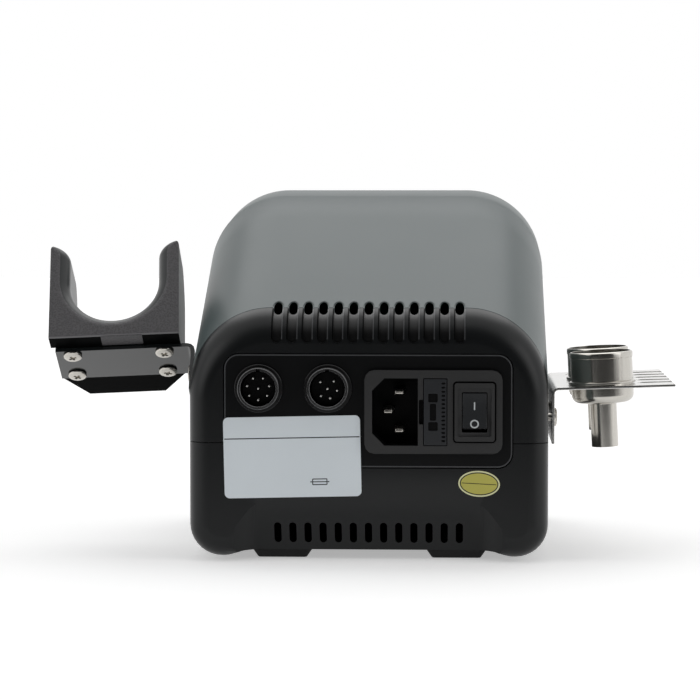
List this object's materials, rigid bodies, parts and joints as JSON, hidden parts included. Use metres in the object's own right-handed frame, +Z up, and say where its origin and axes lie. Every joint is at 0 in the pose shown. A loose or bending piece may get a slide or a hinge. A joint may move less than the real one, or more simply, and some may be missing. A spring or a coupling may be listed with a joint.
{
  "type": "hot air rework station",
  "caption": "Bench rework station: arched housing with rear mains inlet and round sockets, side gun cradle and nozzle rack.",
  "frame": {"origin": "centre of the footprint's bounding box, on the surface the station stands on", "axes": "+X towards the gun cradle, +Y towards the rear face, +Z up; the control face looks towards -Y"},
  "size_m": [0.235, 0.1538, 0.1359],
  "materials": {
    "black_moulding": "satin",
    "grey_moulding": "satin",
    "textured_plastic": "textured",
    "module_plastic": "satin",
    "enamelled_steel": "gloss",
    "plated_steel": "polished",
    "bright_sheet": "bright",
    "black_rubber": "matte",
    "circuit_board": "solder mask",
    "display_glass": "gloss",
    "extruded_aluminium": "satin",
    "transformer_steel": "laminated"
  },
  "bodies": {
    "station": {"airflow_dial_body": "module_plastic", "base_shell": "black_moulding", "board_screw_1": "plated_steel", "board_screw_2": "plated_steel", "board_screw_3": "plated_steel", "board_screw_4": "plated_steel", "bracket_screw_1": "plated_steel", "bracket_screw_2": "plated_steel", "capacitor": "module_plastic", "control_board": "circuit_board", "cradle": "textured_plastic", "cradle_bracket": "enamelled_steel", "cradle_screw_1": "plated_steel", "cradle_screw_2": "plated_steel", "cradle_screw_3": "plated_steel", "cradle_screw_4": "plated_steel", "display_module": "module_plastic", "display_window": "display_glass", "foot_1": "black_rubber", "foot_2": "black_rubber", "foot_3": "black_rubber", "foot_4": "black_rubber", "front_panel": "black_moulding", "gun_socket_insert": "module_plastic", "gun_socket_nut": "plated_steel", "gun_socket_shell": "plated_steel", "heat_sink": "extruded_aluminium", "housing_screw_1": "plated_steel", "housing_screw_2": "plated_steel", "housing_screw_3": "plated_steel", "housing_screw_4": "plated_steel", "inlet_blade_earth": "plated_steel", "inlet_blade_line": "plated_steel", "inlet_blade_neutral": "plated_steel", "iron_socket_insert": "module_plastic", "iron_socket_nut": "plated_steel", "iron_socket_shell": "plated_steel", "mains_module": "module_plastic", "nozzle_rack": "bright_sheet", "power_board": "circuit_board", "rack_screw_1": "plated_steel", "rack_screw_2": "plated_steel", "rear_bezel": "black_moulding", "rear_panel": "black_moulding", "top_cover": "grey_moulding", "transformer": "transformer_steel"},
    "rocker": {"rocker_switch": "module_plastic"},
    "fuse_drawer": {"fuse_drawer": "module_plastic", "fuse": "plated_steel"},
    "airflow_dial": {"airflow_knob": "black_moulding", "airflow_shaft": "plated_steel"},
    "nozzle_1": {"nozzle_1": "bright_sheet"},
    "nozzle_2": {"nozzle_2": "bright_sheet"},
    "key_1": {"key_1": "black_rubber"},
    "key_2": {"key_2": "black_rubber"},
    "key_3": {"key_3": "black_rubber"},
    "key_4": {"key_4": "black_rubber"},
    "key_5": {"key_5": "black_rubber"}
  },
  "joints": [
    {"name": "rocker_tip", "type": "hinge", "parent": "station", "child": "rocker", "pos_m": [-0.04268, 0.07177, 0.0555], "axis": [1, 0, 0], "range_deg": [-20, 0]},
    {"name": "fuse_drawer_slide", "type": "slide", "parent": "station", "child": "fuse_drawer", "axis": [0, 1, 0], "range_m": [0, 0.022]},
    {"name": "airflow_turn", "type": "hinge", "parent": "station", "child": "airflow_dial", "pos_m": [0.03322, -0.05957, 0.10129], "axis": [0, -0.9836, 0.1803], "range_deg": [-150, 150]},
    {"name": "nozzle_1_lift", "type": "slide", "parent": "station", "child": "nozzle_1", "axis": [0.0332, 0, 0.9995], "range_m": [0, 0.045]},
    {"name": "nozzle_2_lift", "type": "slide", "parent": "station", "child": "nozzle_2", "axis": [0.0332, 0, 0.9995], "range_m": [0, 0.045]},
    {"name": "key_1_press", "type": "slide", "parent": "station", "child": "key_1", "axis": [0, 0.9836, -0.1803], "range_m": [0, 0.0008], "stiffness_N_per_m": 300, "springref_m": -0.001},
    {"name": "key_2_press", "type": "slide", "parent": "station", "child": "key_2", "axis": [0, 0.9836, -0.1803], "range_m": [0, 0.0008], "stiffness_N_per_m": 300, "springref_m": -0.001},
    {"name": "key_3_press", "type": "slide", "parent": "station", "child": "key_3", "axis": [0, 0.9836, -0.1803], "range_m": [0, 0.0008], "stiffness_N_per_m": 300, "springref_m": -0.001},
    {"name": "key_4_press", "type": "slide", "parent": "station", "child": "key_4", "axis": [0, 0.9836, -0.1803], "range_m": [0, 0.0008], "stiffness_N_per_m": 300, "springref_m": -0.001},
    {"name": "key_5_press", "type": "slide", "parent": "station", "child": "key_5", "axis": [0, 0.9836, -0.1803], "range_m": [0, 0.0008], "stiffness_N_per_m": 300, "springref_m": -0.001}
  ]
}
